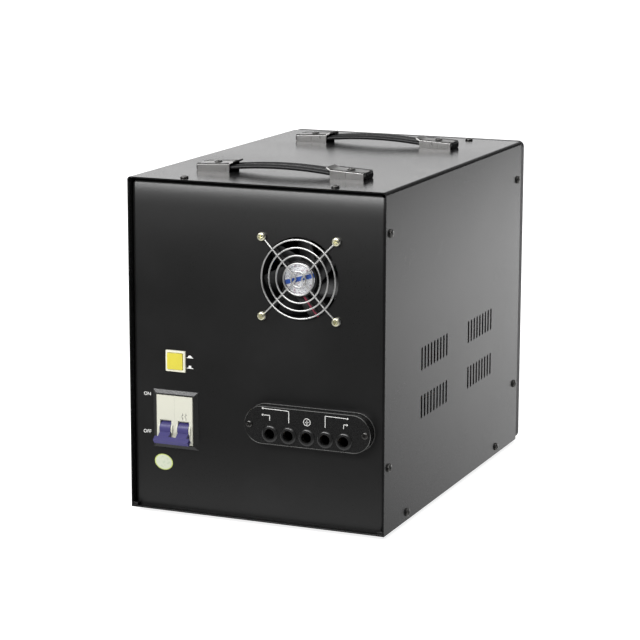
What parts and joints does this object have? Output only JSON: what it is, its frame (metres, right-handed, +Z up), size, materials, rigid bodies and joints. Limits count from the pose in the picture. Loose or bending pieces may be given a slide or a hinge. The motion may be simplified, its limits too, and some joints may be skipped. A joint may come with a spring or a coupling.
{
  "type": "automatic voltage stabilizer",
  "caption": "Boxy steel-cased voltage stabilizer with a rear fan, breaker, delay button, cable entries, strap handles, side vents and analog meters.",
  "frame": {"origin": "middle of the overall box at the feet's undersides", "axes": "+Z up, -Y out of the service panel, +Y out of the display side, +X to the right seen from the service side"},
  "size_m": [0.2542, 0.3926, 0.3226],
  "materials": {
    "case_paint": "satin black powder coat",
    "fascia_plastic": "moulded black plastic",
    "foot_rubber": "black rubber",
    "strap_plastic": "flexible black plastic",
    "cap_steel": "bare bent sheet steel",
    "black_screws": "blackened steel",
    "zinc_steel": "zinc plated steel",
    "guard_wire": "bright plated wire",
    "yellow_zinc": "yellow passivated steel",
    "fan_plastic": "black moulded plastic",
    "breaker_plastic": "off-white moulded plastic",
    "lever_plastic": "blue-violet plastic",
    "bezel_plastic": "white plastic",
    "button_plastic": "yellow plastic",
    "dial_card": "white painted dial plate",
    "needle_paint": "painted thin aluminium",
    "window_clear": "clear window",
    "lamp_lens": "coloured lens",
    "pad_board": "pressboard",
    "core_steel": "laminated electrical steel",
    "winding_copper": "enamelled copper wire",
    "arm_brass": "cast brass",
    "brush_carbon": "pressed carbon",
    "motor_can": "motor and gearbox housing",
    "board_green": "glass epoxy board",
    "board_part": "moulded component bodies",
    "relay_case": "moulded relay case"
  },
  "bodies": {
    "case": {"cover": "case_paint", "service_panel": "case_paint", "base_tray": "case_paint", "display_panel": "case_paint", "display_fascia": "fascia_plastic", "voltmeter_case": "fascia_plastic", "ammeter_case": "fascia_plastic", "rubber_feet": "foot_rubber", "cable_grommets": "foot_rubber", "near_handle_caps": "cap_steel", "far_handle_caps": "cap_steel", "cover_screws": "black_screws", "handle_screws": "black_screws", "terminal_cover_screws": "black_screws", "foot_screws": "zinc_steel", "lever_pin": "zinc_steel", "breaker_rail": "zinc_steel", "rail_posts": "zinc_steel", "clamp_disc": "zinc_steel", "clamp_stud": "zinc_steel", "clamp_nut": "zinc_steel", "motor_bridge": "zinc_steel", "transformer_angles": "zinc_steel", "board_spacers": "zinc_steel", "fan_guard": "guard_wire", "fan_screws": "yellow_zinc", "fan_frame": "fan_plastic", "delay_switch_body": "fan_plastic", "breaker_frame": "fan_plastic", "terminal_cover": "fan_plastic", "terminal_block": "fan_plastic", "breaker_body": "breaker_plastic", "delay_bezel": "bezel_plastic", "voltmeter_dial": "dial_card", "ammeter_dial": "dial_card", "voltmeter_window": "window_clear", "ammeter_window": "window_clear", "indicator_lamps": "lamp_lens", "regulator_pad": "pad_board", "regulator_core": "core_steel", "transformer_core": "core_steel", "regulator_winding": "winding_copper", "transformer_coil": "winding_copper", "terminal_screws": "arm_brass", "servo_motor": "motor_can", "control_board": "board_green", "board_parts": "board_part", "output_relay": "relay_case"},
    "breaker_toggle": {"breaker_levers": "lever_plastic", "lever_tie_bar": "lever_plastic"},
    "delay_plunger": {"delay_button": "button_plastic"},
    "fan_spinner": {"fan_rotor": "fan_plastic"},
    "brush_carriage": {"brush_arm": "arm_brass", "carbon_brush": "brush_carbon", "output_shaft": "zinc_steel"},
    "voltmeter_pointer": {"voltmeter_needle": "needle_paint"},
    "ammeter_pointer": {"ammeter_needle": "needle_paint"},
    "near_grip": {"near_strap": "strap_plastic"},
    "far_grip": {"far_strap": "strap_plastic"}
  },
  "joints": [
    {"name": "breaker_toggle_turn", "type": "hinge", "parent": "case", "child": "breaker_toggle", "pos_m": [-0.081, -0.1807, 0.081], "axis": [1, 0, 0], "range_deg": [-74, 0]},
    {"name": "delay_press", "type": "slide", "parent": "case", "child": "delay_plunger", "axis": [0, 1, 0], "range_m": [0, 0.003], "stiffness_N_per_m": 300, "springref_m": -0.002},
    {"name": "fan_spin", "type": "hinge", "parent": "case", "child": "fan_spinner", "pos_m": [0.0414, -0.1825, 0.2296], "axis": [0, 1, 0], "continuous": true},
    {"name": "brush_sweep", "type": "hinge", "parent": "case", "child": "brush_carriage", "pos_m": [0, 0.0663, 0.0055], "axis": [0, 0, 1], "range_deg": [-160, 160]},
    {"name": "voltmeter_swing", "type": "hinge", "parent": "case", "child": "voltmeter_pointer", "pos_m": [0.048, 0.1823, 0.19892], "axis": [0, 1, 0], "range_deg": [-90, 0], "stiffness_Nm_per_rad": 0.0002, "springref_deg": 11.46},
    {"name": "ammeter_swing", "type": "hinge", "parent": "case", "child": "ammeter_pointer", "pos_m": [-0.048, 0.1823, 0.19892], "axis": [0, 1, 0], "range_deg": [-90, 0], "stiffness_Nm_per_rad": 0.0002, "springref_deg": 11.46},
    {"name": "near_strap_slide", "type": "slide", "parent": "case", "child": "near_grip", "axis": [1, 0, 0], "range_m": [-0.003, 0.003]},
    {"name": "far_strap_slide", "type": "slide", "parent": "case", "child": "far_grip", "axis": [1, 0, 0], "range_m": [-0.003, 0.003]}
  ]
}
